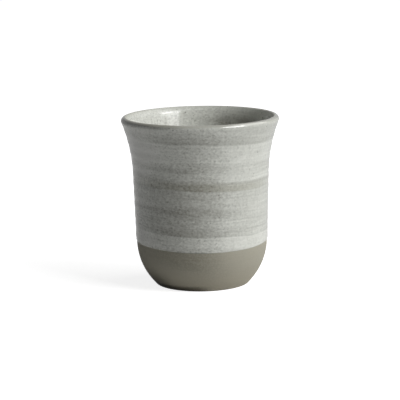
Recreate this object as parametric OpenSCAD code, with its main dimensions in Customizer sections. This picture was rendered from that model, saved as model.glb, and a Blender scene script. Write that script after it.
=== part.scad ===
// Handleless stoneware cup: one turned body of clay under two coats of glaze.
// The origin is the middle of the foot's underside, on the table, and +Z is up.
// Every piece is a closed outline in the half plane x >= 0, turned about Z.

/* [Cup] */
// Height from the table to the crown of the lip
cup_h = 90; // [84:1:110]
// Diameter across the lip
rim_d = 83.7; // [78:0.1:92]

/* [Foot] */
// Rounding of the foot's outer edge
foot_edge_r = 1.6; // [0.6:0.1:2.4]
// Width of the flat ring that the cup stands on
foot_ring_w = 3.6; // [2.4:0.1:6]
// Depth of the turned recess inside the foot ring
recess_h = 1.8; // [1.5:0.1:2.6]
// Rounding at the top and the bottom of the recess's side
recess_round_r = 0.9; // [0.4:0.1:1.2]
// Slope of the recess's side, from the table
recess_slope = 60; // [40:5:80]

/* [Belly] */
// Slope of the trimmed chamfer above the foot, from the table
chamfer_slope = 49; // [40:1:60]
// Width of the chamfer
chamfer_w = 2.6; // [0.5:0.1:5]
// Radius of the belly's curve, from the chamfer to the wall
belly_r = 32.7; // [26:0.1:36]

/* [Wall and lip] */
// Outward lean of the wall
wall_lean = 1.7; // [0.5:0.1:2.3]
// Outward lean of the lip
lip_lean = 21.2; // [14:0.1:26]
// Radius of the flare that joins the wall to the lip
flare_r = 83; // [60:1:95]
// Thickness of the clay at the lip
lip_t = 3.5; // [2.5:0.1:4.5]

/* [Inside] */
// Outward lean of the inner wall, a little more than the outer wall's
inner_lean = 2.4; // [2.3:0.1:3.5]
// Height of the clay floor in the middle of the well
floor_h = 6; // [5:0.5:8]
// Radius of the curve that joins the inner wall to the floor
well_r = 18; // [12:1:21]
// Radius of the floor's shallow dish
dish_r = 120; // [90:5:240]

/* [Glaze] */
// Thickness of both coats
glaze_t = 0.3; // [0.2:0.05:0.5]
// Width of the outer coat's rounded lower edge
glaze_edge_w = 0.8; // [0.4:0.1:1.5]

/* [Hidden] */

// The most that a chord may leave its arc by
chord_gap = 0.015;
// Points of an outline that are closer than this are one point
same_point = 0.000001;
// Points on the rounded lower edge of the outer coat
edge_steps = 5;
// Facets of the turned pieces on the screen; the surfaces are true surfaces of revolution
$fn = 180;
lip_r = lip_t / 2;

function dir(a) = [cos(a), sin(a)];

// Heights, from the foot up. The wall takes what the other curves leave of the cup's height.
chamfer_foot_z = foot_edge_r * (1 - cos(chamfer_slope));
belly_z = chamfer_foot_z + chamfer_w * sin(chamfer_slope) + belly_r * cos(chamfer_slope);
wall_foot_z = belly_z - belly_r * sin(wall_lean);
flare_rise = flare_r * (sin(lip_lean) - sin(wall_lean));
wall_top_z = cup_h - glaze_t - lip_r * (1 + sin(lip_lean)) - flare_rise;
wall_run = (wall_top_z - wall_foot_z) * tan(wall_lean);

// Radii, from the rim down. The foot's radius is what they leave.
flare_run = flare_r * (cos(wall_lean) - cos(lip_lean));
wall_top_x = rim_d / 2 - glaze_t - lip_r * (1 - cos(lip_lean)) - flare_run;
wall_foot_x = wall_top_x - wall_run;
belly_x = wall_foot_x - belly_r * cos(wall_lean);
chamfer_run = chamfer_w * cos(chamfer_slope) + foot_edge_r * sin(chamfer_slope);
foot_x = belly_x + belly_r * sin(chamfer_slope) - chamfer_run;

// Centres of the curves
foot_edge_c = [foot_x, foot_edge_r];
belly_c = [belly_x, belly_z];
wall_foot = [wall_foot_x, wall_foot_z];
flare_c = [wall_top_x, wall_top_z] + flare_r * dir(-wall_lean);
lip_c = flare_c - (flare_r + lip_r) * dir(-lip_lean);
inner_flare_r = flare_r + lip_t;

// The well's curve touches the leaning inner wall and the dished floor: its centre lies well_r
// inside the wall's line, and dish_r - well_r from the centre of the dish.
dish_c = [0, floor_h + dish_r];
down_wall = -dir(90 - inner_lean);
inner_wall_top = flare_c - inner_flare_r * dir(-inner_lean);
well_guide = inner_wall_top - well_r * dir(-inner_lean) - dish_c;
guide_run = well_guide * down_wall;
well_drop = -guide_run + sqrt(guide_run ^ 2 - well_guide * well_guide + (dish_r - well_r) ^ 2);
well_c = dish_c + well_guide + well_drop * down_wall;
dish_angle = asin(well_c.x / (dish_r - well_r));

// The recess's side leaves the ring on one small curve and meets the recess's roof on another
ring_edge_c = [foot_x - foot_ring_w, recess_round_r];
side_up = dir(180 - recess_slope);
side_out = dir(90 - recess_slope);
side_len = (recess_h - 2 * recess_round_r * (1 - cos(recess_slope))) / sin(recess_slope);
roof_edge_c = ring_edge_c - 2 * recess_round_r * side_out + side_len * side_up;

// A station is [point on the clay, direction of the surface's normal, thickness of glaze on it]
function station(p, normal, glaze) = [p, normal, glaze];

// Stations along an arc, both ends included. The glaze grows outwards along the arc's radius,
// or inwards where side is -1.
function arc_steps(r, sweep) = max(1, ceil(abs(sweep) / (2 * acos(1 - chord_gap / r))));
function arc(c, r, from, to, glaze = 0, side = 1) =
    let (n = arc_steps(r, to - from))
    [for (i = [0:n]) let (a = from + (to - from) * i / n)
        station(c + r * dir(a), side > 0 ? a : a + 180, glaze)];

// The rounded lower edge of the outer coat, up the foot of the wall
function coat_edge() =
    [for (i = [0:edge_steps]) let (a = 90 * i / edge_steps)
        station(wall_foot + glaze_edge_w * (1 - cos(a)) * dir(90 - wall_lean), -wall_lean,
                glaze_t * sin(a))];

underside = concat(
    [station([0, recess_h], -90, 0)],
    arc(roof_edge_c, recess_round_r, 90, 90 - recess_slope, 0, -1),
    arc(ring_edge_c, recess_round_r, 270 - recess_slope, 270));
bare_side = concat(
    arc(foot_edge_c, foot_edge_r, -90, chamfer_slope - 90),
    arc(belly_c, belly_r, chamfer_slope - 90, -wall_lean));
coated_side = concat(
    coat_edge(),
    arc(flare_c, flare_r, 180 - wall_lean, 180 - lip_lean, glaze_t, -1),
    arc(lip_c, lip_r, -lip_lean, 90, glaze_t));
inside = concat(
    arc(lip_c, lip_r, 90, 180 - lip_lean, glaze_t),
    arc(flare_c, inner_flare_r, 180 - lip_lean, 180 - inner_lean, glaze_t),
    arc(well_c, well_r, -inner_lean, dish_angle - 90, glaze_t, -1),
    arc(dish_c, dish_r, dish_angle - 90, -90, glaze_t, -1));

// Points of a run of stations, on the clay or on the glaze over it, each repeated point once
function apart(points) =
    [for (i = [0:len(points) - 1])
        if (i == 0 || norm(points[i] - points[i - 1]) > same_point) points[i]];
function on_clay(run) = apart([for (s = run) s[0]]);
function on_glaze(run) = apart([for (s = run) s[0] + s[2] * dir(s[1])]);
function reversed(points) = [for (i = [len(points) - 1:-1:0]) points[i]];
function coat(run) = apart(concat(on_clay(run), reversed(on_glaze(run))));

// The clay: floor, turned foot ring, belly, wall and lip in one piece
module stoneware_body() {
    color([0.53, 0.51, 0.45])
        rotate_extrude() polygon(on_clay(concat(underside, bare_side, coated_side, inside)));
}

// The dipped coat outside, from the top of the belly to the crown of the lip
module outer_glaze() {
    color([0.72, 0.74, 0.71])
        rotate_extrude() polygon(coat(coated_side));
}

// The poured coat inside, from the crown of the lip over the wall and the floor
module liner_glaze() {
    color([0.76, 0.78, 0.75])
        rotate_extrude() polygon(coat(inside));
}

stoneware_body();
outer_glaze();
liner_glaze();
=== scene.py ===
"""Looks of the handleless stoneware cup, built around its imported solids.

The clay and its two coats of glaze are turned about the cup's axis from outlines of rings, by one
Geometry Nodes tree that also gives them their throwing rings, streaks and wavy glaze line. The
cup's and its finishes' sizes are in millimetres and degrees. Meshes, lamps and the distances of
the lamps and the camera are in metres.
"""

import logging
import math
from dataclasses import dataclass
from enum import Enum
from functools import cached_property
from typing import ClassVar

import bpy
from mathutils import Matrix, Vector


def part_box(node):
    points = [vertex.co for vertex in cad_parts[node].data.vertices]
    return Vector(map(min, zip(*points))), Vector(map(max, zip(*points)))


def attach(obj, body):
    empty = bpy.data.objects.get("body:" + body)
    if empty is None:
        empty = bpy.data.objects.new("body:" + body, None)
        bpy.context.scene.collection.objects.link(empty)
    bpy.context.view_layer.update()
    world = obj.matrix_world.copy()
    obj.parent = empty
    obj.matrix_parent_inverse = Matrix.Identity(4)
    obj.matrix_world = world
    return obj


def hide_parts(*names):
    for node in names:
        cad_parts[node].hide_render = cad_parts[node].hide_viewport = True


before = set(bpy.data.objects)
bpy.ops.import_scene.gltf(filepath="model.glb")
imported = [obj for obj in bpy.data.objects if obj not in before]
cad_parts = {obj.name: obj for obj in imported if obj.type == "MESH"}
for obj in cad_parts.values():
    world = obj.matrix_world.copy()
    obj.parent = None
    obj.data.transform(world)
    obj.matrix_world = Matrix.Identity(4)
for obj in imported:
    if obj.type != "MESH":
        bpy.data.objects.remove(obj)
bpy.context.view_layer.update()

MM = 0.001
BODY = "root"
PHOTO_SIDE_PX = 400
SENSOR_MM = 36.0

log = logging.getLogger("cup")

Colour = tuple[float, float, float]
Range = tuple[float, float]


class Slot(Enum):
    """The record's material slots."""

    CLAY = "bare_stoneware"
    OUTER = "outer_glaze"
    LINER = "liner_glaze"


class Blend(Enum):
    """How a second colour goes over a first."""

    COVER = "MIX"
    # Multiplies the colour: used for tints and stains, and for painted shade.
    STAIN_AND_SHADE = "MULTIPLY"


@dataclass(frozen=True)
class Grain:
    """A noise: how large its grains are along X, Y and Z, which one it is, and its finer layers."""

    x: float
    y: float
    z: float
    seed: float
    detail: float = 2.0


class Term:
    """A number on a node's socket, which takes part in expressions."""

    def __init__(self, graph: "Graph", socket: bpy.types.NodeSocket) -> None:
        """Keeps the socket and the graph that it is in."""
        self.graph = graph
        self.socket = socket

    def __add__(self, other: "Term | float") -> "Term":
        """This plus other."""
        return self.graph.math("ADD", self, other)

    def __sub__(self, other: "Term | float") -> "Term":
        """This less other."""
        return self.graph.math("SUBTRACT", self, other)

    def __rsub__(self, other: float) -> "Term":
        """Other less this."""
        return self.graph.math("SUBTRACT", other, self)

    def __mul__(self, other: "Term | float") -> "Term":
        """This times other."""
        return self.graph.math("MULTIPLY", self, other)

    def __truediv__(self, other: "Term | float") -> "Term":
        """This over other."""
        return self.graph.math("DIVIDE", self, other)

    def __rtruediv__(self, other: float) -> "Term":
        """Other over this."""
        return self.graph.math("DIVIDE", other, self)

    __radd__ = __add__
    __rmul__ = __mul__


class Graph:
    """A shader or geometry node tree under construction."""

    SEED_STEP = (7.31, 3.17, 5.53)
    # A Mix node has its two colours and its mixed colour at these sockets.
    MIX_COLOURS = (6, 7)
    MIX_RESULT = 2

    def __init__(self, tree: bpy.types.NodeTree) -> None:
        """Starts with an empty tree."""
        self.tree = tree
        tree.nodes.clear()

    def node(self, kind: str, settings: dict | None = None, inputs: dict | None = None) -> bpy.types.Node:
        """Adds a node.

        Args:
            kind: The node's type.
            settings: The node's own properties, set first. "stops" holds a ramp's stops, each a
                place and a colour.
            inputs: Values, Terms or sockets for its inputs, by name or by number.

        Returns:
            The new node.
        """
        node = self.tree.nodes.new(kind)
        for name, value in (settings or {}).items():
            if name == "stops":
                self._set_stops(node.color_ramp, value)
            else:
                setattr(node, name, value)
        for key, value in (inputs or {}).items():
            if isinstance(value, Term):
                value = value.socket
            if isinstance(value, bpy.types.NodeSocket):
                self.tree.links.new(value, node.inputs[key])
            else:
                node.inputs[key].default_value = value
        return node

    @staticmethod
    def _set_stops(ramp: bpy.types.ColorRamp, stops: list[tuple[float, Colour]]) -> None:
        """Gives a ramp its stops.

        Args:
            ramp: A new node's ramp.
            stops: Each stop's place and colour.
        """
        while len(ramp.elements) < len(stops):
            ramp.elements.new(1.0)
        for element, (place, colour) in zip(ramp.elements, stops):
            element.position = place
            element.color = (*colour, 1.0)

    def term(self, socket: bpy.types.NodeSocket) -> Term:
        """Wraps a socket that holds a number."""
        return Term(self, socket)

    def math(self, operation: str, *operands: Term | float) -> Term:
        """The result of a Math node."""
        node = self.node("ShaderNodeMath", {"operation": operation}, dict(enumerate(operands)))
        return self.term(node.outputs[0])

    def vector(self, operation: str, *operands: bpy.types.NodeSocket | tuple) -> bpy.types.NodeSocket:
        """The vector that a Vector Math node gives."""
        node = self.node("ShaderNodeVectorMath", {"operation": operation}, dict(enumerate(operands)))
        return node.outputs["Vector"]

    def scaled(self, vector: bpy.types.NodeSocket, factor: Term | float) -> bpy.types.NodeSocket:
        """A vector times a number."""
        node = self.node("ShaderNodeVectorMath", {"operation": "SCALE"}, {"Vector": vector, "Scale": factor})
        return node.outputs["Vector"]

    def joined(self, x: Term | float, y: Term | float, z: Term | float) -> bpy.types.NodeSocket:
        """A vector from three numbers."""
        return self.node("ShaderNodeCombineXYZ", {}, {0: x, 1: y, 2: z}).outputs["Vector"]

    def parts(self, vector: bpy.types.NodeSocket) -> tuple[Term, Term, Term]:
        """The three numbers of a vector."""
        node = self.node("ShaderNodeSeparateXYZ", {}, {0: vector})
        return self.term(node.outputs[0]), self.term(node.outputs[1]), self.term(node.outputs[2])

    def from_axis(self, x: Term, y: Term) -> Term:
        """How far a place is from the cup's axis."""
        return self.math("SQRT", x * x + y * y)

    def rise(self, value: Term, low: float, high: float) -> Term:
        """A smooth step from 0 to 1.

        Args:
            value: What it follows.
            low: Where it is 0.
            high: Where it is 1. Below low, the step falls.

        Returns:
            The step.
        """
        inputs = {"Value": value, "From Min": low, "From Max": high}
        node = self.node("ShaderNodeMapRange", {"interpolation_type": "SMOOTHSTEP"}, inputs)
        return self.term(node.outputs["Result"])

    def noise(self, point: bpy.types.NodeSocket, grain: Grain) -> Term:
        """Noise from -1 to 1, about.

        Args:
            point: Where it is read.
            grain: The noise, with its grains' size in the point's own unit.

        Returns:
            The noise.
        """
        shift = tuple(grain.seed * step for step in self.SEED_STEP)
        moved = self.vector("MULTIPLY_ADD", point, (1 / grain.x, 1 / grain.y, 1 / grain.z), shift)
        texture = self.node("ShaderNodeTexNoise", {}, {"Vector": moved, "Scale": 1.0, "Detail": grain.detail})
        return 2 * self.term(texture.outputs[0]) - 1

    def mix(
        self,
        factor: Term | float,
        first: Colour | bpy.types.NodeSocket,
        second: Colour | bpy.types.NodeSocket,
        blend: Blend = Blend.COVER,
    ) -> bpy.types.NodeSocket:
        """Mixes two colours.

        Args:
            factor: The share of the second colour.
            first: The colour below.
            second: The colour that goes over it.
            blend: How it goes over.

        Returns:
            The socket of the mixed colour.
        """
        inputs = {0: factor}
        for place, colour in zip(self.MIX_COLOURS, (first, second)):
            inputs[place] = (*colour, 1.0) if isinstance(colour, tuple) else colour
        settings = {"data_type": "RGBA", "blend_type": blend.value}
        return self.node("ShaderNodeMix", settings, inputs).outputs[self.MIX_RESULT]


@dataclass(frozen=True)
class Station:
    """A point of the clay's outline and the glaze's thickness there, in millimetres.

    The normal is the angle, in degrees, at which the surface faces.
    """

    radius: float
    height: float
    normal: float
    coat: float = 0.0

    def lifted(self) -> tuple[float, float]:
        """The point on the glaze over it."""
        angle = math.radians(self.normal)
        return self.radius + self.coat * math.cos(angle), self.height + self.coat * math.sin(angle)


def towards(angle: float) -> Vector:
    """The unit vector at an angle in degrees, in the half plane of the outline."""
    return Vector((math.cos(math.radians(angle)), math.sin(math.radians(angle))))


def arc(
    centre: Vector,
    radius: float,
    start: float,
    end: float,
    spacing: float,
    coat: float = 0.0,
    hollow: bool = False,
) -> list[Station]:
    """Stations along an arc of the outline, both ends included.

    Args:
        centre: The arc's centre.
        radius: Its radius.
        start: The angle of its first station, in degrees.
        end: The angle of its last station.
        spacing: The longest step between stations.
        coat: The thickness of the glaze on it.
        hollow: True where the clay is outside the arc, so that its normals point at the centre.

    Returns:
        The stations in order.
    """
    steps = max(2, math.ceil(radius * math.radians(abs(end - start)) / spacing))
    made = []
    for i in range(steps + 1):
        angle = start + (end - start) * i / steps
        point = centre + radius * towards(angle)
        made.append(Station(point.x, point.y, angle + 180 if hollow else angle, coat))
    return made


def straight(first: Station, last: Station, spacing: float) -> list[Station]:
    """Stations between two others on a straight line, both left out.

    Args:
        first: The station before them.
        last: The station after them.
        spacing: The longest step between stations.

    Returns:
        The stations in order.
    """
    steps = math.ceil(math.dist((first.radius, first.height), (last.radius, last.height)) / spacing)
    made = []
    for i in range(1, steps):
        share = i / steps
        radius = first.radius + share * (last.radius - first.radius)
        height = first.height + share * (last.height - first.height)
        made.append(Station(radius, height, last.normal, first.coat + share * (last.coat - first.coat)))
    return made


@dataclass(frozen=True)
class CupForm:
    """The cup's outline, whose height and width are the frame's.

    Its curves are those of the solids, but for the glaze's roll and the lip's gentler inner half.
    In a name, r is a radius, w a width, h a height, t a thickness and c a centre.
    """

    height: float
    rim_r: float
    foot_edge_r: float = 1.6
    foot_ring_w: float = 3.6
    recess_h: float = 1.8
    recess_round_r: float = 0.9
    recess_slope: float = 60.0
    chamfer_slope: float = 49.0
    chamfer_w: float = 2.6
    belly_r: float = 32.7
    wall_lean: float = 1.7
    lip_lean: float = 21.2
    flare_r: float = 83.0
    lip_t: float = 3.5
    inner_lip_lean: float = 19.8
    inner_lean: float = 2.4
    floor_h: float = 6.0
    well_r: float = 18.0
    dish_r: float = 120.0
    glaze_t: float = 0.3
    glaze_edge_w: float = 0.8
    edge_tuck: float = 0.05
    roll_rise: float = 3.2
    roll_w: float = 2.6
    roll_t: float = 0.12
    recess_step_share: float = 0.25
    glaze_edge_steps: int = 8
    lip_step: float = 0.25
    crown_step: float = 0.04
    crown_start: float = 84.0
    inner_lip_steps: int = 36

    @classmethod
    def from_frame(cls) -> "CupForm":
        """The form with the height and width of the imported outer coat."""
        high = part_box("outer_glaze")[1]
        return cls(height=high.z / MM, rim_r=high.x / MM)

    @property
    def lip_r(self) -> float:
        """Radius of the clay's round lip."""
        return self.lip_t / 2

    @cached_property
    def wall_foot(self) -> Vector:
        """Where the belly's curve ends and the wall starts, which is the glaze line.

        Returns:
            Its radius and height.
        """
        chamfer_foot = self.foot_edge_r * (1 - towards(self.chamfer_slope).x)
        chamfer = self.chamfer_w * towards(self.chamfer_slope).y
        belly_z = chamfer_foot + chamfer + self.belly_r * towards(self.chamfer_slope).x
        z = belly_z - self.belly_r * towards(self.wall_lean).y
        run = (self.wall_top.y - z) * math.tan(math.radians(self.wall_lean))
        return Vector((self.wall_top.x - run, z))

    @cached_property
    def wall_top(self) -> Vector:
        """Where the wall ends and the flare starts.

        Returns:
            Its radius and height.
        """
        wall, lip = towards(self.wall_lean), towards(self.lip_lean)
        return Vector((
            self.rim_r - self.glaze_t - self.lip_r * (1 - lip.x) - self.flare_r * (wall.x - lip.x),
            self.height - self.glaze_t - self.lip_r * (1 + lip.y) - self.flare_r * (lip.y - wall.y),
        ))

    @cached_property
    def belly_c(self) -> Vector:
        """Centre of the belly's curve."""
        return self.wall_foot - self.belly_r * towards(-self.wall_lean)

    @cached_property
    def foot_edge_c(self) -> Vector:
        """Centre of the foot's rounded edge.

        Returns:
            Its radius and height.
        """
        chamfer_top = self.belly_c + self.belly_r * towards(self.chamfer_slope - 90)
        chamfer_foot = chamfer_top - self.chamfer_w * towards(self.chamfer_slope)
        return chamfer_foot - self.foot_edge_r * towards(self.chamfer_slope - 90)

    @cached_property
    def flare_c(self) -> Vector:
        """Centre of the flare, outside the cup."""
        return self.wall_top + self.flare_r * towards(-self.wall_lean)

    @cached_property
    def lip_c(self) -> Vector:
        """Centre of the round lip."""
        return self.flare_c - (self.flare_r + self.lip_r) * towards(-self.lip_lean)

    @cached_property
    def dish_c(self) -> Vector:
        """Centre of the floor's shallow dish."""
        return Vector((0, self.floor_h + self.dish_r))

    @cached_property
    def well_c(self) -> Vector:
        """Centre of the curve that touches the inner wall and the dish.

        Returns:
            Its radius and height.
        """
        down = -towards(90 - self.inner_lean)
        top = self.flare_c - (self.flare_r + self.lip_t) * towards(-self.inner_lean)
        guide = top - self.well_r * towards(-self.inner_lean) - self.dish_c
        along = guide.dot(down)
        reach = (self.dish_r - self.well_r) ** 2 - guide.length_squared
        return self.dish_c + guide + (math.sqrt(along**2 + reach) - along) * down

    def roll(self, rise: float) -> float:
        """How much thicker the glaze is where it gathered, at a height above its line."""
        return self.roll_t * math.exp(-(((rise - self.roll_rise) / self.roll_w) ** 2))

    def underside(self, spacing: float) -> list[Station]:
        """The recess and its rounded side, from the middle out to the ring that the cup stands on.

        Args:
            spacing: The longest step, which is shorter on the roundings.

        Returns:
            The stations in order.
        """
        ring_c = Vector((self.foot_edge_c.x - self.foot_ring_w, self.recess_round_r))
        up, out = towards(180 - self.recess_slope), towards(90 - self.recess_slope)
        rounded = 2 * self.recess_round_r * (1 - towards(self.recess_slope).x)
        side = (self.recess_h - rounded) / towards(self.recess_slope).y
        roof_c = ring_c - 2 * self.recess_round_r * out + side * up
        middle = Station(0.0, self.recess_h, -90)
        fine = spacing * self.recess_step_share
        roof = arc(roof_c, self.recess_round_r, 90, 90 - self.recess_slope, fine, hollow=True)
        ring = arc(ring_c, self.recess_round_r, 270 - self.recess_slope, 270, fine)
        return [middle, *straight(middle, roof[0], spacing), *roof, *ring]

    def bare_side(self, spacing: float) -> list[Station]:
        """The foot's edge, the chamfer and the belly, up to the glaze line.

        Args:
            spacing: The longest step.

        Returns:
            The stations in order.
        """
        edge = arc(self.foot_edge_c, self.foot_edge_r, -90, self.chamfer_slope - 90, spacing)
        belly = arc(self.belly_c, self.belly_r, self.chamfer_slope - 90, -self.wall_lean, spacing)
        return [*edge, *straight(edge[-1], belly[0], spacing), *belly]

    def glaze_edge(self) -> list[Station]:
        """The rounded lower edge of the outer coat, which starts a little inside the clay.

        Returns:
            The stations from the glaze line up.
        """
        made = []
        for i in range(self.glaze_edge_steps + 1):
            turn = towards(90 * i / self.glaze_edge_steps)
            point = self.wall_foot + self.glaze_edge_w * (1 - turn.x) * towards(90 - self.wall_lean)
            coat = turn.y * (self.glaze_t + self.roll(point.y - self.wall_foot.y) + self.edge_tuck)
            made.append(Station(point.x, point.y, -self.wall_lean, coat - self.edge_tuck))
        return made

    def coated_side(self, spacing: float) -> list[Station]:
        """The wall, the flare and the lip's outer half, from the glaze line to the crown.

        Args:
            spacing: The longest step.

        Returns:
            The stations in order.
        """
        edge = self.glaze_edge()
        start, end = 180 - self.wall_lean, 180 - self.lip_lean
        flare = arc(self.flare_c, self.flare_r, start, end, spacing, self.glaze_t, hollow=True)
        wall = [
            Station(s.radius, s.height, s.normal, self.glaze_t + self.roll(s.height - self.wall_foot.y))
            for s in straight(edge[-1], flare[0], spacing)
        ]
        return [*edge, *wall, *flare, *self.outer_lip(spacing)[1:]]

    def outer_lip(self, spacing: float) -> list[Station]:
        """The lip's outer half. Its steps are shortest at the crown, where the two coats meet.

        Args:
            spacing: The longest step.

        Returns:
            The stations from the flare up to the crown.
        """
        side_step = min(spacing, self.lip_step)
        side = arc(self.lip_c, self.lip_r, -self.lip_lean, self.crown_start, side_step, self.glaze_t)
        crown = arc(self.lip_c, self.lip_r, self.crown_start, 90, self.crown_step, self.glaze_t)
        return [*side, *crown[1:]]

    def inner_lip(self) -> list[Station]:
        """The lip's inner half, an elliptic curve from the crown to the inner flare.

        Returns:
            The stations in order, both ends included.
        """
        crown = self.lip_c + Vector((0, self.lip_r))
        foot = self.flare_c + (self.flare_r + self.lip_t) * towards(180 - self.inner_lip_lean)
        down = (crown.y - foot.y) * math.tan(math.radians(self.inner_lip_lean))
        corner = Vector((foot.x + down, crown.y))
        along, across = crown - corner, foot - corner
        made = []
        for i in range(self.inner_lip_steps + 1):
            turn = towards(90 * i / self.inner_lip_steps)
            point = corner + along * (1 - turn.y) + across * (1 - turn.x)
            step = across * turn.y - along * turn.x
            normal = math.degrees(math.atan2(-step.x, step.y))
            made.append(Station(point.x, point.y, normal, self.glaze_t))
        return made

    def inside(self, spacing: float) -> list[Station]:
        """The lip's inner half, the inner wall, the well's curve and the dished floor.

        Args:
            spacing: The longest step below the lip.

        Returns:
            The stations from the crown down to the floor's middle.
        """
        start, end = 180 - self.inner_lip_lean, 180 - self.inner_lean
        flare = arc(self.flare_c, self.flare_r + self.lip_t, start, end, spacing, self.glaze_t)
        dish_start = math.degrees(math.asin(self.well_c.x / (self.dish_r - self.well_r))) - 90
        well = arc(self.well_c, self.well_r, -self.inner_lean, dish_start, spacing, self.glaze_t, hollow=True)
        dish = arc(self.dish_c, self.dish_r, dish_start, -90, spacing, self.glaze_t, hollow=True)
        return [*self.inner_lip(), *flare[1:], *straight(flare[-1], well[0], spacing), *well, *dish[1:]]


@dataclass(frozen=True)
class Ring:
    """A ring of a turned mesh, in millimetres and degrees.

    Relief is the share of the turning's relief that it takes, and slide the share of the glaze
    line's dips and waves.
    """

    radius: float
    height: float
    normal: float
    relief: float = 0.0
    slide: float = 0.0


def smooth(share: float) -> float:
    """A smooth step from 0 to 1 as share goes from 0 to 1."""
    share = min(1.0, max(0.0, share))
    return share * share * (3 - 2 * share)


@dataclass(frozen=True)
class Turning:
    """What the wheel, the tools and the brush left in a surface, in millimetres and degrees.

    The tree's named inputs are these fields.
    """

    segments: int = 360
    throwing_pitch: float = 5.6
    throwing_depth: float = 0.0
    streak_length: float = 14.0
    streak_width: float = 0.7
    streak_depth: float = 0.0
    grain_size: float = 0.8
    grain_depth: float = 0.0
    line_dip: float = 0.0
    line_sag: float = 0.0
    line_wave: float = 0.0
    line_lift: float = 0.0
    line_lowest: float = -75.0
    seed: float = 1.0


class TurningTree:
    """The Geometry Nodes tree that turns an outline about Z and puts the relief on it."""

    LENGTHS = (
        "throwing_pitch", "throwing_depth", "streak_length", "streak_width", "streak_depth",
        "grain_size", "grain_depth", "line_dip", "line_sag", "line_wave", "line_lift",
    )
    SHARP_ANGLE = math.radians(50)
    WELD = 1e-6
    HALF_STEP = 0.5
    WAVES = Grain(0.45, 0.45, 1.0, seed=2.0, detail=3.0)
    STREAKS = Grain(1.0, 1.0, 1.0, seed=1.0, detail=3.0)
    GRAINS = Grain(1.0, 1.0, 1.0, seed=4.0)

    def __init__(self) -> None:
        """Builds the tree."""
        self.tree = bpy.data.node_groups.new("turned_on_the_wheel", "GeometryNodeTree")
        add = self.tree.interface.new_socket
        add("Outline", in_out="INPUT", socket_type="NodeSocketGeometry")
        add("segments", in_out="INPUT", socket_type="NodeSocketInt")
        for name in (*self.LENGTHS, "line_lowest", "seed"):
            add(name, in_out="INPUT", socket_type="NodeSocketFloat")
        add("material", in_out="INPUT", socket_type="NodeSocketMaterial")
        add("Surface", in_out="OUTPUT", socket_type="NodeSocketGeometry")
        self.graph = Graph(self.tree)
        self.given = self.graph.node("NodeGroupInput")
        self._finish(self._bend())

    def _input(self, name: str) -> Term:
        """One of the tree's named inputs."""
        return self.graph.term(self.given.outputs[name])

    def _sampled(self, kind: str, value: bpy.types.NodeSocket, row: Term) -> bpy.types.NodeSocket:
        """What the outline's ring of a row holds.

        Args:
            kind: The type of what it holds.
            value: The socket that reads it.
            row: The ring's row.

        Returns:
            The socket of what that ring holds.
        """
        settings = {"data_type": kind, "domain": "POINT"}
        inputs = {"Geometry": self.given.outputs["Outline"], "Value": value, "Index": row}
        return self.graph.node("GeometryNodeSampleIndex", settings, inputs).outputs["Value"]

    def _attribute(self, name: str, row: Term) -> Term:
        """A named number of the outline's ring."""
        named = self.graph.node("GeometryNodeInputNamedAttribute", {"data_type": "FLOAT"}, {"Name": name})
        return self.graph.term(self._sampled("FLOAT", named.outputs["Attribute"], row))

    def _bend(self) -> bpy.types.NodeSocket:
        """Adds a grid of rings and columns that is bent round the axis, with the relief on it.

        Returns:
            The geometry.
        """
        g = self.graph
        outline = {"Geometry": self.given.outputs["Outline"]}
        counts = g.node("GeometryNodeAttributeDomainSize", {"component": "MESH"}, outline)
        rows = g.term(counts.outputs["Point Count"])
        segments = self._input("segments")
        grid = g.node("GeometryNodeMeshGrid", {}, {"Vertices X": segments + 1, "Vertices Y": rows})
        index = g.term(g.node("GeometryNodeInputIndex").outputs[0])
        column = g.math("FLOOR", (index + self.HALF_STEP) / rows)
        row = index - column * rows
        turn = column * math.tau / segments
        position = g.node("GeometryNodeInputPosition").outputs[0]
        radius, _, height = g.parts(self._sampled("FLOAT_VECTOR", position, row))
        height = height - self._attribute("slide", row) * self._line_drop(turn)
        across, forth = g.math("COSINE", turn), g.math("SINE", turn)
        point = g.joined(radius * across, radius * forth, height)
        level, up = self._attribute("normal_out", row), self._attribute("normal_up", row)
        normal = g.joined(level * across, level * forth, up)
        raised = g.vector("ADD", point, g.scaled(normal, self._relief(point, turn, row)))
        inputs = {"Geometry": grid.outputs[0], "Position": raised}
        return g.node("GeometryNodeSetPosition", {}, inputs).outputs[0]

    def _finish(self, bent: bpy.types.NodeSocket) -> None:
        """Adds the nodes that weld the mesh, shade it smooth but for its sharp edges, and dress it.

        Args:
            bent: The geometry so far.
        """
        g = self.graph
        welded = g.node("GeometryNodeMergeByDistance", {}, {"Geometry": bent, "Distance": self.WELD})
        faces = g.node("GeometryNodeSetShadeSmooth", {"domain": "FACE"}, {"Geometry": welded.outputs[0]})
        angle = g.term(g.node("GeometryNodeInputMeshEdgeAngle").outputs["Unsigned Angle"])
        sharp = g.math("GREATER_THAN", angle, self.SHARP_ANGLE)
        inputs = {"Geometry": faces.outputs[0], "Selection": sharp, "Shade Smooth": False}
        edges = g.node("GeometryNodeSetShadeSmooth", {"domain": "EDGE"}, inputs)
        real = g.node("GeometryNodeRealizeInstances", {}, {"Geometry": edges.outputs[0]})
        inputs = {"Geometry": real.outputs[0], "Material": self.given.outputs["material"]}
        dressed = g.node("GeometryNodeSetMaterial", {}, inputs)
        g.node("NodeGroupOutput", {}, {"Surface": dressed.outputs[0]})

    def _line_drop(self, turn: Term) -> Term:
        """How far the glaze line hangs below its level.

        Args:
            turn: The angle round the cup.

        Returns:
            The distance, in metres.
        """
        g = self.graph
        away = turn - self._input("line_lowest")
        dip = self._input("line_dip") * g.math("COSINE", away)
        sag = self._input("line_sag") * g.math("COSINE", away * 2)
        around = g.joined(g.math("COSINE", turn), g.math("SINE", turn), self._input("seed"))
        wave = self._input("line_wave") * g.noise(around, self.WAVES)
        return dip + sag + wave - self._input("line_lift")

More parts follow.
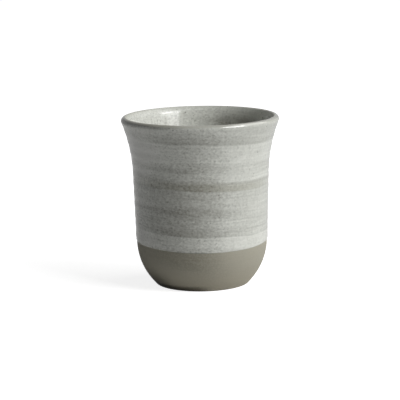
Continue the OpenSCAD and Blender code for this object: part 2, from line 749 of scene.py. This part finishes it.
    def _relief(self, point: bpy.types.NodeSocket, turn: Term, row: Term) -> Term:
        """How far the surface stands out along its normal.

        Args:
            point: The point on the turned outline.
            turn: Its angle round the cup.
            row: Its ring.

        Returns:
            The distance, in metres.
        """
        g = self.graph
        seed = self._input("seed")
        phase = self._attribute("along", row) / self._input("throwing_pitch") * math.tau + turn
        x, y, z = g.parts(point)
        length, width = self._input("streak_length"), self._input("streak_width")
        streaks = g.joined(x / length + seed, y / length, z / width)
        size = self._input("grain_size")
        grains = g.joined(x / size, y / size + seed, z / size)
        return self._attribute("relief", row) * (
            self._input("throwing_depth") * g.math("SINE", phase)
            + self._input("streak_depth") * g.noise(streaks, self.STREAKS)
            + self._input("grain_depth") * g.noise(grains, self.GRAINS)
        )

    @staticmethod
    def _outline(name: str, rings: list[Ring]) -> bpy.types.Mesh:
        """Makes the line of points that the tree reads, with what each ring holds.

        Args:
            name: The piece's name.
            rings: The outline's rings in order.

        Returns:
            The mesh, in metres.
        """
        mesh = bpy.data.meshes.new(f"{name}_outline")
        points = [(r.radius * MM, 0.0, r.height * MM) for r in rings]
        mesh.from_pydata(points, [(i, i + 1) for i in range(len(rings) - 1)], [])
        along = [0.0]
        for before, after in zip(points, points[1:]):
            along.append(along[-1] + math.dist(before, after))
        held = {
            "normal_out": [towards(r.normal).x for r in rings],
            "normal_up": [towards(r.normal).y for r in rings],
            "relief": [r.relief for r in rings],
            "slide": [r.slide for r in rings],
            "along": along,
        }
        for attribute, numbers in held.items():
            mesh.attributes.new(attribute, "FLOAT", "POINT").data.foreach_set("value", numbers)
        return mesh

    def turn(
        self, name: str, rings: list[Ring], turning: Turning, material: bpy.types.Material
    ) -> bpy.types.Object:
        """Turns a closed outline into a plain mesh.

        Args:
            name: The piece's name.
            rings: The outline's rings in order, with the clay or the glaze on their left.
            turning: The relief on the surface.
            material: The finish.

        Returns:
            The new object, at the origin.
        """
        outline = self._outline(name, rings)
        piece = in_scene(name, outline)
        modifier = piece.modifiers.new("turning", "NODES")
        modifier.node_group = self.tree
        given = {length: getattr(turning, length) * MM for length in self.LENGTHS}
        given |= {"segments": turning.segments, "seed": turning.seed, "material": material}
        given["line_lowest"] = math.radians(turning.line_lowest)
        for item in self.tree.interface.items_tree:
            if item.in_out == "INPUT" and item.name in given:
                modifier[item.identifier] = given[item.name]
        depsgraph = bpy.context.evaluated_depsgraph_get()
        finished = bpy.data.meshes.new_from_object(piece.evaluated_get(depsgraph), depsgraph=depsgraph)
        finished.name = name
        piece.modifiers.clear()
        piece.data = finished
        bpy.data.meshes.remove(outline)
        return piece


def in_scene(name: str, data: bpy.types.ID) -> bpy.types.Object:
    """Makes an object and puts it in the scene.

    Args:
        name: Its name.
        data: Its mesh, lamp or camera.

    Returns:
        The object, at the origin.
    """
    made = bpy.data.objects.new(name, data)
    bpy.context.scene.collection.objects.link(made)
    return made


class Finish:
    """What the finishes share: a material over Object coordinates in millimetres, and a glossy shader."""

    GLOSS_ROUGHNESS = 0.06
    GLOSS_IOR = 2.0

    def start(self, name: str) -> tuple[bpy.types.Material, Graph, bpy.types.NodeSocket]:
        """Makes the material and its graph.

        Args:
            name: The material's name.

        Returns:
            The material, its graph, and the socket with the place in millimetres.
        """
        material = bpy.data.materials.new(name)
        material.use_nodes = True
        graph = Graph(material.node_tree)
        place = graph.node("ShaderNodeTexCoord").outputs["Object"]
        return material, graph, graph.scaled(place, 1 / MM)

    def end(
        self,
        graph: Graph,
        colour: bpy.types.NodeSocket,
        roughness: Term,
        bump: Term,
        bump_depth: float,
        ior: float = 1.5,
        gloss: Term | float = 0.0,
    ) -> None:
        """Adds the shader.

        Args:
            graph: The material's graph.
            colour: The surface's colour.
            roughness: Its roughness.
            bump: Its fine relief, from -1 to 1.
            bump_depth: How far 1 in the relief stands out, in millimetres.
            ior: The glaze's or the clay's index of refraction.
            gloss: The share of a second, clearer coat.
        """
        inputs = {"Strength": 1.0, "Distance": bump_depth * MM, "Height": bump}
        inputs = {
            "Base Color": colour,
            "Roughness": roughness,
            "Normal": graph.node("ShaderNodeBump", {}, inputs).outputs["Normal"],
            "IOR": ior,
            "Coat Weight": gloss,
            "Coat Roughness": self.GLOSS_ROUGHNESS,
            "Coat IOR": self.GLOSS_IOR,
        }
        shader = graph.node("ShaderNodeBsdfPrincipled", {}, inputs)
        graph.node("ShaderNodeOutputMaterial", {}, {"Surface": shader.outputs[0]})


@dataclass(frozen=True)
class Stroke:
    """A band of another tone round the wall, in the glaze and the clay; some are brush streaks, and some are
    painted light and shade.

    Heights and blurs are in millimetres and angles in degrees. The band is whole at the azimuth
    middle, which is measured from the front towards the right, and has faded to the share far
    spread degrees away from it.
    """

    low: float
    high: float
    tone: float
    low_blur: float
    high_blur: float
    middle: float = 0.0
    far: float = 1.0
    spread: float = 110.0
    olive: float = 0.0

    def cover(self, g: Graph, x: Term, y: Term, level: Term) -> Term:
        """Where the band lies.

        Args:
            g: The material's graph.
            x: The place along X, in millimetres.
            y: The place along Y.
            level: The height, along the brush's slant.

        Returns:
            1 in the band and 0 away from it.
        """
        above = g.rise(level, self.low - self.low_blur, self.low + self.low_blur)
        below = g.rise(level, self.high + self.high_blur, self.high - self.high_blur)
        if self.far == 1.0:
            return above * below
        middle = towards(self.middle)
        facing = (x * middle.y - y * middle.x) / g.from_axis(x, y)
        reach = self.far + (1 - self.far) * g.rise(facing, towards(self.spread).x, 1.0)
        return above * below * reach


@dataclass(frozen=True)
class BareStoneware(Finish):
    """Unglazed fired clay: matt, grey-brown, with fine turning lines and grog, and with painted light and
    shade on its belly and foot.

    A tone of 0 is the clay's colour and 1 its dark one.
    """

    clay: Colour = (0.451, 0.431, 0.354)
    dark: Colour = (0.231, 0.216, 0.169)
    light: Colour = (0.56, 0.54, 0.45)
    warm: Colour = (1.02, 1.0, 0.975)
    # The colour that the painted shade at the foot's lower left multiplies by.
    painted_shade_colour: Colour = (0.18, 0.18, 0.18)
    lines: Grain = Grain(26.0, 26.0, 0.8, seed=3.0, detail=4.0)
    clouds: Grain = Grain(14.0, 14.0, 7.0, seed=5.0)
    grog: Grain = Grain(0.9, 0.9, 0.9, seed=7.0)
    tone: float = 0.05
    cloudy_share: float = 0.6
    cloudy_range: Range = (-0.1, 0.9)
    cloudy_tone: float = 0.24
    grog_tone: float = 0.45
    light_range: Range = (0.2, 0.6)
    light_share: float = 0.5
    warm_heights: Range = (16.0, 3.0)
    roughness: float = 0.62
    line_roughness: float = 0.08
    grog_roughness: float = 0.06
    line_relief: float = 0.6
    grog_relief: float = 0.4
    bump_depth: float = 0.05
    ior: float = 1.3
    strokes: tuple[Stroke, ...] = (
        Stroke(13.0, 26.0, 0.34, 4.0, 1.0, -20.0, 0.0, 50.0),  # painted shade: darker belly, left of the front
        Stroke(8.0, 26.0, -0.25, 3.0, 1.0, -70.0, 0.0, 50.0),  # painted light: paler belly at the left
        Stroke(5.0, 15.0, -0.12, 2.5, 2.5, -36.0, 0.0, 34.0),  # paler patch low at the left
        Stroke(7.0, 14.0, 0.12, 2.5, 2.5, 9.0, 0.0, 26.0),  # darker patch low at the front
        Stroke(-2.0, 2.4, 1.6, 0.5, 1.8, -45.0, 0.05, 62.0),  # painted shade along the foot's edge at the left
    )
    # Painted shade: the foot's lower left and its edge, darkened where the light does not reach.
    painted_shades: tuple[Stroke, ...] = (
        Stroke(-2.0, 6.0, 1.0, 0.5, 7.5, -80.0, 0.0, 50.0),  # painted soft shade low at the left
        Stroke(-2.0, 2.1, 0.8, 0.5, 1.6, -45.0, 0.0, 50.0),  # and painted shade along the foot's edge
    )

    def material(self) -> bpy.types.Material:
        """Makes the material.

        Returns:
            The material.
        """
        made, g, place = self.start("bare_stoneware")
        x, y, z = g.parts(place)
        lines, clouds, grog = (g.noise(place, grain) for grain in (self.lines, self.clouds, self.grog))
        cloudy = g.rise(clouds * self.cloudy_share + lines * self.cloudy_share, *self.cloudy_range)
        tone = cloudy * self.cloudy_tone + grog * self.grog_tone + self.tone
        # Some of these strokes are painted light and shade on the belly and the foot.
        for stroke in self.strokes:
            tone = tone + stroke.tone * stroke.cover(g, x, y, z + clouds)
        colour = g.mix(g.rise(tone, 0.0, 1.0), self.clay, self.dark)
        colour = g.mix(g.rise(grog, *self.light_range) * self.light_share, colour, self.light)
        colour = g.mix(g.rise(z, *self.warm_heights), colour, self.warm, Blend.STAIN_AND_SHADE)
        # Painted shade at the foot's lower left and along its edge.
        for shade in self.painted_shades:
            colour = g.mix(shade.tone * shade.cover(g, x, y, z), colour, self.painted_shade_colour, Blend.STAIN_AND_SHADE)
        roughness = self.roughness + self.line_roughness * lines + self.grog_roughness * grog
        relief = lines * self.line_relief + grog * self.grog_relief
        self.end(g, colour, roughness, relief, self.bump_depth, ior=self.ior)
        return made


@dataclass(frozen=True)
class Specks:
    """Scattered iron specks, most of them small and faint.

    The spacing is in millimetres, and the largest size is a share of it. The soft edge lies between
    two shares of a speck's own size.
    """

    spacing: float = 2.3
    chances: Range = (0.42, 1.0)
    largest: float = 0.17
    least: float = 0.001
    edge: Range = (1.5, 0.4)
    faintest: float = 0.1
    stronger: float = 0.5

    def cover(self, g: Graph, place: bpy.types.NodeSocket) -> Term:
        """Where the specks lie.

        Args:
            g: The material's graph.
            place: The place in millimetres.

        Returns:
            Up to 1 in a speck and 0 outside, with a soft edge.
        """
        inputs = {"Vector": place, "Scale": 1 / self.spacing}
        cells = g.node("ShaderNodeTexVoronoi", {"feature": "F1"}, inputs)
        chance, depth, _ = g.parts(cells.outputs["Color"])
        size = g.rise(chance, *self.chances) * self.largest
        near = g.term(cells.outputs["Distance"]) / (size + self.least)
        return g.rise(near, *self.edge) * (self.faintest + self.stronger * depth * depth)


@dataclass(frozen=True)
class Rim:
    """How a glaze thins, dries and shines on the lip.

    Depths are in millimetres below the rim, from where a change starts to where it is whole, and
    sides are the same along X.
    """

    height: float = 90.0
    thin_depths: Range = (1.5, 0.3)
    wander: float = 0.4
    wear: float = 0.38
    front_wear: float = 0.22
    calm: float = 0.75
    polish: float = 0.03
    gloss: float = 1.0
    gloss_sides: Range = (-26.0, 4.0)
    dry: float = 0.0
    dry_depths: Range = (2.5, 1.6)

    def near(self, g: Graph, z: Term, depths: Range) -> Term:
        """0 below the first depth under the rim and 1 above the second."""
        return g.rise(z, self.height - depths[0], self.height - depths[1])

    def shine(self, g: Graph, x: Term, thin: Term) -> Term | float:
        """The weight of the clearer coat on the lip, where it has one."""
        return thin * self.gloss * g.rise(x, *self.gloss_sides) if self.gloss else 0.0


@dataclass(frozen=True)
class Glaze(Finish):
    """Pale grey stoneware glaze: glossy, streaked by the brush and speckled with iron.

    A tone of 0 is the plain colour, 1 the dark one and -1 that of the paler, thicker glaze.
    """

    name: str
    strokes: tuple[Stroke, ...] = ()
    palest: Colour = (0.920, 0.925, 0.870)
    pale: Colour = (0.792, 0.803, 0.741)
    plain: Colour = (0.612, 0.621, 0.568)
    dark: Colour = (0.450, 0.450, 0.405)
    darkest: Colour = (0.300, 0.295, 0.255)
    olive: Colour = (1.0, 0.992, 0.948)
    iron: Colour = (0.10, 0.09, 0.065)
    broken: Colour = (0.40, 0.395, 0.31)
    rim: Rim = Rim()
    specks: Specks = Specks()
    wall_r: float = 36.0
    tilt: float = 1.3
    wander: Grain = Grain(22.0, 22.0, 22.0, seed=2.0, detail=1.0)
    wander_rise: float = 0.7
    fine: Grain = Grain(20.0, 20.0, 0.8, seed=3.0, detail=1.5)
    broad: Grain = Grain(34.0, 34.0, 2.4, seed=4.0)
    patches: Grain = Grain(9.0, 9.0, 4.0, seed=6.0)
    mottle: Grain = Grain(1.35, 1.35, 0.95, seed=5.0, detail=1.0)
    flecks: Grain = Grain(1.5, 1.5, 1.1, seed=9.0, detail=1.0)
    comb: Grain = Grain(1.3, 1.3, 6.0, seed=8.0, detail=1.0)
    tone: float = 0.0
    streak_tone: float = 0.26
    fine_share: float = 2.0
    broad_share: float = 0.8
    low_heights: Range = (56.0, 40.0)
    low_share: float = 0.8
    mottle_tone: float = 1.35
    mottle_patches: float = 0.6
    fleck_range: Range = (0.12, 0.55)
    fleck_mean: float = 0.15
    fleck_tone: float = 1.0
    comb_tone: float = 0.30
    calm: float = 0.66
    calm_reach: float = 0.9
    stroke_patches: float = 0.5
    roughness: float = 0.13
    streak_roughness: float = 0.03
    speck_roughness: float = 0.1
    streak_relief: float = 0.3
    mottle_relief: float = 0.3
    bump_depth: float = 0.008

    def material(self) -> bpy.types.Material:
        """Makes the material.

        Returns:
            The material.
        """
        made, g, place = self.start(self.name)
        x, y, z = g.parts(place)
        level = z + x * (self.tilt / self.wall_r) + g.noise(place, self.wander) * self.wander_rise
        drawn = g.joined(x, y, level)
        fine, broad = g.noise(drawn, self.fine), g.noise(drawn, self.broad)
        patches, mottle = g.noise(place, self.patches), g.noise(place, self.mottle)
        thin = self.rim.near(g, z + patches * self.rim.wander, self.rim.thin_depths)
        low = g.rise(z, *self.low_heights)
        streaks = fine * (self.fine_share + patches + self.low_share * low) + broad * self.broad_share
        calm = (1 - self.calm * g.rise(x, 0.0, self.calm_reach * self.wall_r)) * (1 - self.rim.calm * thin)
        tone = self.tone + self.streak_tone * streaks + calm * self._speckle(g, place, mottle, patches)
        tone = tone + g.noise(place, self.comb) * self.comb_tone
        # Some strokes are painted light and shade, on the outer wall and inside.
        covers = [stroke.cover(g, x, y, level) for stroke in self.strokes]
        uneven = 1 + self.stroke_patches * patches
        for stroke, cover in zip(self.strokes, covers):
            tone = tone + stroke.tone * cover * uneven
        colour = self._coloured(g, tone)
        for stroke, cover in zip(self.strokes, covers):
            if stroke.olive:
                colour = g.mix(stroke.olive * cover, colour, self.olive, Blend.STAIN_AND_SHADE)
        specks = self.specks.cover(g, place)
        colour = g.mix(specks, colour, self.iron)
        wear = self.rim.wear - y * (self.rim.front_wear / self.wall_r)
        colour = g.mix(thin * wear, colour, self.broken)
        roughness = self.roughness + self.streak_roughness * fine + self.speck_roughness * specks
        dry = self.rim.dry * self.rim.near(g, z, self.rim.dry_depths)
        roughness = roughness - self.rim.polish * thin + dry
        relief = fine * self.streak_relief + mottle * self.mottle_relief - specks
        self.end(g, colour, roughness, relief, self.bump_depth, gloss=self.rim.shine(g, x, thin))
        return made

    def _speckle(self, g: Graph, place: bpy.types.NodeSocket, mottle: Term, patches: Term) -> Term:
        """The tone of the mottling and the flecks.

        Args:
            g: The material's graph.
            place: The place in millimetres.
            mottle: The mottling's noise.
            patches: The noise of the patches in which the mottling is stronger.

        Returns:
            The tone that they add.
        """
        flecks = g.rise(g.noise(place, self.flecks), *self.fleck_range)
        mottled = mottle * self.mottle_tone * (1 + self.mottle_patches * patches)
        return mottled + (flecks - self.fleck_mean) * self.fleck_tone

    def _coloured(self, g: Graph, tone: Term) -> bpy.types.NodeSocket:
        """Turns a tone into a colour.

        Args:
            g: The material's graph.
            tone: The tone, from -2 for the palest colour to 2 for the darkest.

        Returns:
            The colour.
        """
        colours = (self.palest, self.pale, self.plain, self.dark, self.darkest)
        step = 1 / (len(colours) - 1)
        stops = [(i * step, colour) for i, colour in enumerate(colours)]
        return g.node("ShaderNodeValToRGB", {"stops": stops}, {0: 0.5 + step * tone}).outputs["Color"]


def seen_directly(g: Graph, path: bpy.types.Node) -> Term:
    """1 for rays from the camera, through glass or not, and 0 for others."""
    straight_on = g.term(path.outputs["Is Camera Ray"])
    return g.math("MAXIMUM", straight_on, g.term(path.outputs["Is Transmission Ray"]))


@dataclass(frozen=True)
class StudioFloor(Finish):
    """Plain pale floor that the camera sees as white and that keeps the cup's shadow."""

    paint: Colour = (0.75, 0.75, 0.75)
    near_glow: float = 0.86
    far_glow: float = 1.0
    shadow_range: Range = (60.0, 450.0)
    mirrored: float = 0.26

    def material(self) -> bpy.types.Material:
        """Makes the material.

        Returns:
            The material.
        """
        made, g, place = self.start("studio_floor")
        matt = g.node("ShaderNodeBsdfDiffuse", {}, {"Color": (*self.paint, 1.0)})
        path = g.node("ShaderNodeLightPath")
        x, y, _ = g.parts(place)
        away = g.rise(g.from_axis(x, y), *self.shadow_range)
        glow = self.near_glow + (self.far_glow - self.near_glow) * away
        strength = glow * seen_directly(g, path) + self.mirrored * g.term(path.outputs["Is Glossy Ray"])
        shine = g.node("ShaderNodeEmission", {}, {"Strength": strength})
        both = g.node("ShaderNodeAddShader", {}, {0: matt.outputs[0], 1: shine.outputs[0]})
        g.node("ShaderNodeOutputMaterial", {}, {"Surface": both.outputs[0]})
        return made


def place_piece(piece: bpy.types.Object, node: str) -> None:
    """Puts a finished piece on its body, in place of its solid.

    Args:
        piece: The finished piece.
        node: The solid that it stands for.
    """
    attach(piece, BODY)
    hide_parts(node)


@dataclass
class TurnedPart:
    """What the cup's parts share: a closed outline that is turned about Z and dressed.

    The steps are the longest ones along the outline, where it shows and where it doesn't.
    """

    NAME: ClassVar[str]
    NODE: ClassVar[str]
    SLOT: ClassVar[Slot]

    form: CupForm
    tree: TurningTree
    finish: BareStoneware | Glaze
    turning: Turning
    visible_step: float
    hidden_step: float

    def rings(self) -> list[Ring]:
        """The part's outline, which each part gives."""
        raise NotImplementedError

    def build(self) -> bpy.types.Object:
        """Makes and dresses the part, and puts it in place of its solid.

        Returns:
            The piece.
        """
        piece = self.tree.turn(self.NAME, self.rings(), self.turning, self.finish.material())
        place_piece(piece, self.NODE)
        return piece


@dataclass
class ClayBody(TurnedPart):
    """The thrown and trimmed clay: floor, turned foot ring, belly, wall and lip.

    The fades are the lengths over which the relief comes in: above the ring that it stands on,
    away from the underside's middle, and down from the glaze line.
    """

    NAME: ClassVar[str] = "clay_body"
    NODE: ClassVar[str] = "stoneware_body"
    SLOT: ClassVar[Slot] = Slot.CLAY

    finish: BareStoneware = BareStoneware()
    turning: Turning = Turning(
        throwing_pitch=1.1,
        throwing_depth=0.012,
        streak_length=24.0,
        streak_width=0.6,
        streak_depth=0.025,
        grain_size=0.7,
        grain_depth=0.018,
        seed=3.0,
    )
    visible_step: float = 0.3
    hidden_step: float = 3.5
    underside_step: float = 0.6
    underside_relief: float = 0.7
    stand_fade: float = 1.2
    middle_fade: float = 3.0
    line_fade: float = 2.0

    def rings(self) -> list[Ring]:
        """The clay's whole outline. The relief is on its bare surfaces, but not where it stands.

        Returns:
            The rings, from the underside's middle out, up, and down the inside.
        """
        made = []
        relief_top = self.form.wall_foot.y + self.line_fade / 2
        for s in [*self.form.underside(self.underside_step), *self.form.bare_side(self.visible_step)]:
            relief = smooth(s.height / self.stand_fade) * smooth(s.radius / self.middle_fade)
            relief *= smooth((relief_top - s.height) / self.line_fade)
            if s.radius <= self.form.foot_edge_c.x:
                relief *= self.underside_relief
            made.append(Ring(s.radius, s.height, s.normal, relief))
        covered = [*self.form.coated_side(self.hidden_step)[1:], *self.form.inside(self.hidden_step)[1:]]
        return made + [Ring(s.radius, s.height, s.normal) for s in covered]


@dataclass
class Coat(TurnedPart):
    """What the two coats share: a relief that fades out below the lip."""

    lip_plain: float = 1.5
    lip_fade: float = 4.0

    def below_lip(self, height: float) -> float:
        """The share of the relief that a height under the lip has."""
        return smooth((self.form.height - self.lip_plain - height) / self.lip_fade)


@dataclass
class OuterCoat(Coat):
    """The dipped and brushed coat outside, with its rounded, wavy lower edge."""

    NAME: ClassVar[str] = "outer_coat"
    NODE: ClassVar[str] = "outer_glaze"
    SLOT: ClassVar[Slot] = Slot.OUTER

    # Each stroke has its two heights, tone and two blurs, then its middle, far share and spread.
    STROKES: ClassVar[tuple[Stroke, ...]] = (
        Stroke(23.0, 30.8, -0.80, 1.0, 0.5),  # pale thick glaze above the line
        Stroke(32.2, 34.6, 0.50, 0.7, 1.2, -30.0, 0.2),  # grey band over it
        Stroke(30.9, 31.9, 0.45, 0.3, 0.4, -8.0, 0.0, 70.0),  # thin dark streak between the two
        Stroke(30.5, 43.0, 0.34, 2.0, 2.5, -62.0, 0.0, 36.0),  # darker low wall at the left
        Stroke(30.0, 50.0, -0.24, 3.0, 3.0, 40.0, 0.0, 58.0),  # paler low wall at the right
        Stroke(42.2, 45.0, 0.62, 1.4, 1.2, -25.0, 0.1, 95.0),  # lower brushed band
        Stroke(39.5, 41.2, 0.18, 0.4, 0.4, -10.0, 0.2),  # faint streak under it
        Stroke(55.2, 59.0, 0.78, 0.35, 1.4, 4.0, 0.12, 74.0, 0.9),  # olive band round the middle
        Stroke(58.8, 60.0, 0.45, 0.4, 0.5, 62.0, 0.0, 55.0),  # its upper streak at the right
        Stroke(54.8, 55.5, 0.35, 0.3, 0.3, 15.0, 0.0, 50.0),  # its thin lower edge
        Stroke(60.2, 64.2, -0.40, 0.6, 0.8),  # pale band over it
        Stroke(64.4, 66.6, 0.50, 0.9, 1.0, -40.0, 0.0, 52.0),  # grey streak at the left
        Stroke(73.0, 84.0, -0.30, 1.5, 1.5, -62.0, 0.0, 36.0),  # painted light: paler high wall at the left
        Stroke(69.0, 79.4, -0.85, 1.6, 0.35, -50.0, 0.65),  # wide pale band
        Stroke(63.0, 68.0, -0.25, 1.5, 1.5, 18.0, 0.0, 45.0),  # paler patch at the front
        Stroke(81.2, 84.0, 0.22, 0.8, 1.4, 58.0, 0.1, 75.0),  # grey band at the right, under the lip
        Stroke(80.1, 80.9, 0.45, 0.4, 0.5, 0.0, 0.1, 60.0),  # thin dark streak at the front
        Stroke(83.6, 88.0, -0.34, 0.8, 0.5, -40.0, 0.2),  # paler flare
        Stroke(87.7, 94.0, 2.0, 0.6, 1.0, -56.0, 0.0, 46.0),  # dark lip at the left
        Stroke(61.0, 92.0, -1.25, 6.0, 1.0, -78.0, 0.0, 70.0),  # painted light: paler upper half at the far left
        Stroke(20.0, 76.0, -0.75, 3.0, 3.0, -72.0, 0.0, 55.0),  # painted light: paler left side
        Stroke(20.0, 84.0, 0.80, 2.0, 4.0, -17.0, 0.0, 44.0),  # painted shade: darker wall, left of the front
        Stroke(26.0, 72.0, -0.10, 5.0, 4.0, 28.0, 0.0, 40.0),  # paler wall, right of the front
    )

    finish: Glaze = Glaze("brushed_glaze", STROKES)
    turning: Turning = Turning(
        throwing_pitch=5.6,
        throwing_depth=0.05,
        streak_length=16.0,
        streak_width=1.1,
        streak_depth=0.03,
        grain_size=1.4,
        grain_depth=0.012,
        line_dip=0.45,
        line_sag=0.45,
        line_wave=0.3,
        line_lift=0.35,
        seed=5.0,
    )
    visible_step: float = 0.45
    hidden_step: float = 4.0
    slide_reach: float = 9.0
    edge_fade: float = 1.5

    def _above_line(self, height: float, reach: float) -> float:
        """A smooth step from 0 at the glaze line to 1 at a reach above it."""
        return smooth((height - self.form.wall_foot.y) / reach)

    def rings(self) -> list[Ring]:
        """The glazed face up to the crown, then the face on the clay back down.

        Returns:
            The rings, the last of them the first one again.
        """
        made = []
        for s in self.form.coated_side(self.visible_step):
            relief = self._above_line(s.height, self.edge_fade) * self.below_lip(s.height)
            slide = 1 - self._above_line(s.height, self.slide_reach)
            made.append(Ring(*s.lifted(), s.normal, relief, slide))
        edge = len(self.form.glaze_edge())
        for s in reversed(self.form.coated_side(self.hidden_step)[edge - 1:]):
            slide = 1 - self._above_line(s.height, self.slide_reach)
            made.append(Ring(s.radius, s.height, s.normal, slide=slide))
        return [*made, made[0]]


@dataclass
class LinerCoat(Coat):
    """The poured coat inside, over the floor, the wall and the lip's inner half."""

    NAME: ClassVar[str] = "liner_coat"
    NODE: ClassVar[str] = "liner_glaze"
    SLOT: ClassVar[Slot] = Slot.LINER

    STROKES: ClassVar[tuple[Stroke, ...]] = (
        Stroke(60.0, 84.4, 1.5, 2.0, 1.8, 122.0, 0.0, 76.0),  # painted shade: darker wall at the back right
        Stroke(60.0, 86.6, 1.1, 2.0, 1.4, 143.0, 0.0, 30.0),  # painted shade, its darkest part
        Stroke(85.8, 88.0, 1.4, 2.4, 1.6, 110.5, 0.0, 6.0),  # painted dark reflection: small mark inside the lip
        Stroke(87.4, 92.0, -1.2, 1.2, 1.0, 97.0, 0.0, 22.0),  # paler lip beside it
    )

    finish: Glaze = Glaze(
        "poured_glaze",
        STROKES,
        rim=Rim(gloss=0.0, dry=0.4),
        specks=Specks(spacing=2.6),
        tone=-0.5,
        streak_tone=0.16,
        bump_depth=0.004,
    )
    turning: Turning = Turning(
        throwing_pitch=6.5,
        throwing_depth=0.008,
        streak_length=20.0,
        streak_width=4.0,
        streak_depth=0.003,
        grain_size=2.4,
        grain_depth=0.001,
        seed=8.0,
    )
    visible_step: float = 0.62
    hidden_step: float = 4.0
    middle_fade: float = 4.0

    def rings(self) -> list[Ring]:
        """The face on the clay from the floor's middle up, then the glazed face back down.

        Returns:
            The rings, from the middle to the middle.
        """
        made = [Ring(s.radius, s.height, s.normal) for s in reversed(self.form.inside(self.hidden_step))]
        for s in self.form.inside(self.visible_step):
            relief = self.below_lip(s.height) * smooth(s.radius / self.middle_fade)
            made.append(Ring(*s.lifted(), s.normal, relief))
        return made


@dataclass(frozen=True)
class SoftBox:
    """A lamp with a soft rectangular face that looks at the cup.

    Azimuth is measured from the camera towards the right, in degrees.
    """

    name: str
    azimuth: float
    elevation: float
    distance: float
    width: float
    height: float
    watts: float
    roll: float = 0.0
    aim_z: float = 0.045

    def build(self) -> None:
        """Makes the lamp."""
        data = bpy.data.lights.new(self.name, "AREA")
        data.shape, data.size, data.size_y = "RECTANGLE", self.width, self.height
        data.energy = self.watts
        lamp = in_scene(self.name, data)
        level = towards(self.elevation)
        turn = math.radians(self.azimuth)
        away = Vector((math.sin(turn) * level.x, -math.cos(turn) * level.x, level.y))
        lamp.location = Vector((0, 0, self.aim_z)) + self.distance * away
        rolled = away.to_track_quat("Z", "Y").to_matrix() @ Matrix.Rotation(math.radians(self.roll), 3, "Z")
        lamp.rotation_euler = rolled.to_euler()


@dataclass(frozen=True)
class Studio:
    """Floor, lamps and surroundings."""

    sky: Colour = (1.0, 1.0, 1.0)
    mirrored: float = 0.45
    floor_side: float = 6.0
    # Each lamp has its name, azimuth, elevation, distance, width, height and watts.
    lamps: tuple[SoftBox, ...] = (
        SoftBox("key", 96.0, 44.0, 1.2, 1.20, 1.00, 6.2),
        SoftBox("strip", 58.0, 38.5, 1.2, 0.64, 0.36, 6.9, roll=-9.0),
        SoftBox("fill", 50.0, 26.5, 1.2, 0.44, 0.22, 1.3),
    )

    def build(self) -> None:
        """Makes the floor, the lamps and the surroundings."""
        half = self.floor_side / 2
        corners = [(-half, -half, 0), (half, -half, 0), (half, half, 0), (-half, half, 0)]
        mesh = bpy.data.meshes.new("floor")
        mesh.from_pydata(corners, [], [(0, 1, 2, 3)])
        mesh.materials.append(StudioFloor().material())
        floor = in_scene("floor", mesh)
        for lamp in self.lamps:
            lamp.build()
        self._surroundings()

    def _surroundings(self) -> None:
        """Makes a world that is white to the camera, pale in reflections and lights nothing."""
        world = bpy.data.worlds.new("surroundings")
        world.use_nodes = True
        bpy.context.scene.world = world
        g = Graph(world.node_tree)
        path = g.node("ShaderNodeLightPath")
        strength = seen_directly(g, path) + self.mirrored * g.term(path.outputs["Is Glossy Ray"])
        sky = g.node("ShaderNodeBackground", {}, {"Color": (*self.sky, 1.0), "Strength": strength})
        g.node("ShaderNodeOutputWorld", {}, {"Surface": sky.outputs[0]})


@dataclass(frozen=True)
class PhotoCamera:
    """The photograph's camera.

    The cup's middle lies aim_right and aim_up millimetres from the picture's centre, and the
    cup leans by lean degrees to the left in the picture.
    """

    elevation: float = 10.22
    distance: float = 1.0133
    aim_z: float = 0.0448
    focal_px: float = 1900.0
    lean: float = 0.968
    aim_right: float = 0.70
    aim_up: float = 0.30
    clip: Range = (0.01, 100.0)

    def build(self) -> None:
        """Makes the camera and sets it as the scene's."""
        data = bpy.data.cameras.new("camera")
        data.sensor_width = SENSOR_MM
        data.lens = self.focal_px / PHOTO_SIDE_PX * SENSOR_MM
        data.clip_start, data.clip_end = self.clip
        camera = in_scene("camera", data)
        level = towards(self.elevation)
        back = Vector((0, -level.x, level.y))
        turned = back.to_track_quat("Z", "Y").to_matrix()
        aside = turned @ Vector((-self.aim_right, -self.aim_up, 0)) * MM
        place = Vector((0, 0, self.aim_z)) + aside + self.distance * back
        leaned = turned @ Matrix.Rotation(math.radians(-self.lean), 3, "Z")
        camera.matrix_world = Matrix.LocRotScale(place, leaned, None)
        bpy.context.scene.camera = camera


def main() -> None:
    """Builds the camera, the cup and the studio, and reports each piece of the cup."""
    logging.basicConfig(level=logging.INFO, format="%(name)s: %(message)s")
    bpy.context.scene.view_settings.view_transform = "Standard"
    PhotoCamera().build()
    form = CupForm.from_frame()
    tree = TurningTree()
    for part in (ClayBody(form, tree), OuterCoat(form, tree), LinerCoat(form, tree)):
        piece = part.build()
        triangles = sum(len(face.vertices) - 2 for face in piece.data.polygons)
        log.info("%s: %d triangles, for %s", piece.name, triangles, part.NODE)
    Studio().build()


if __name__ == "__main__":
    main()
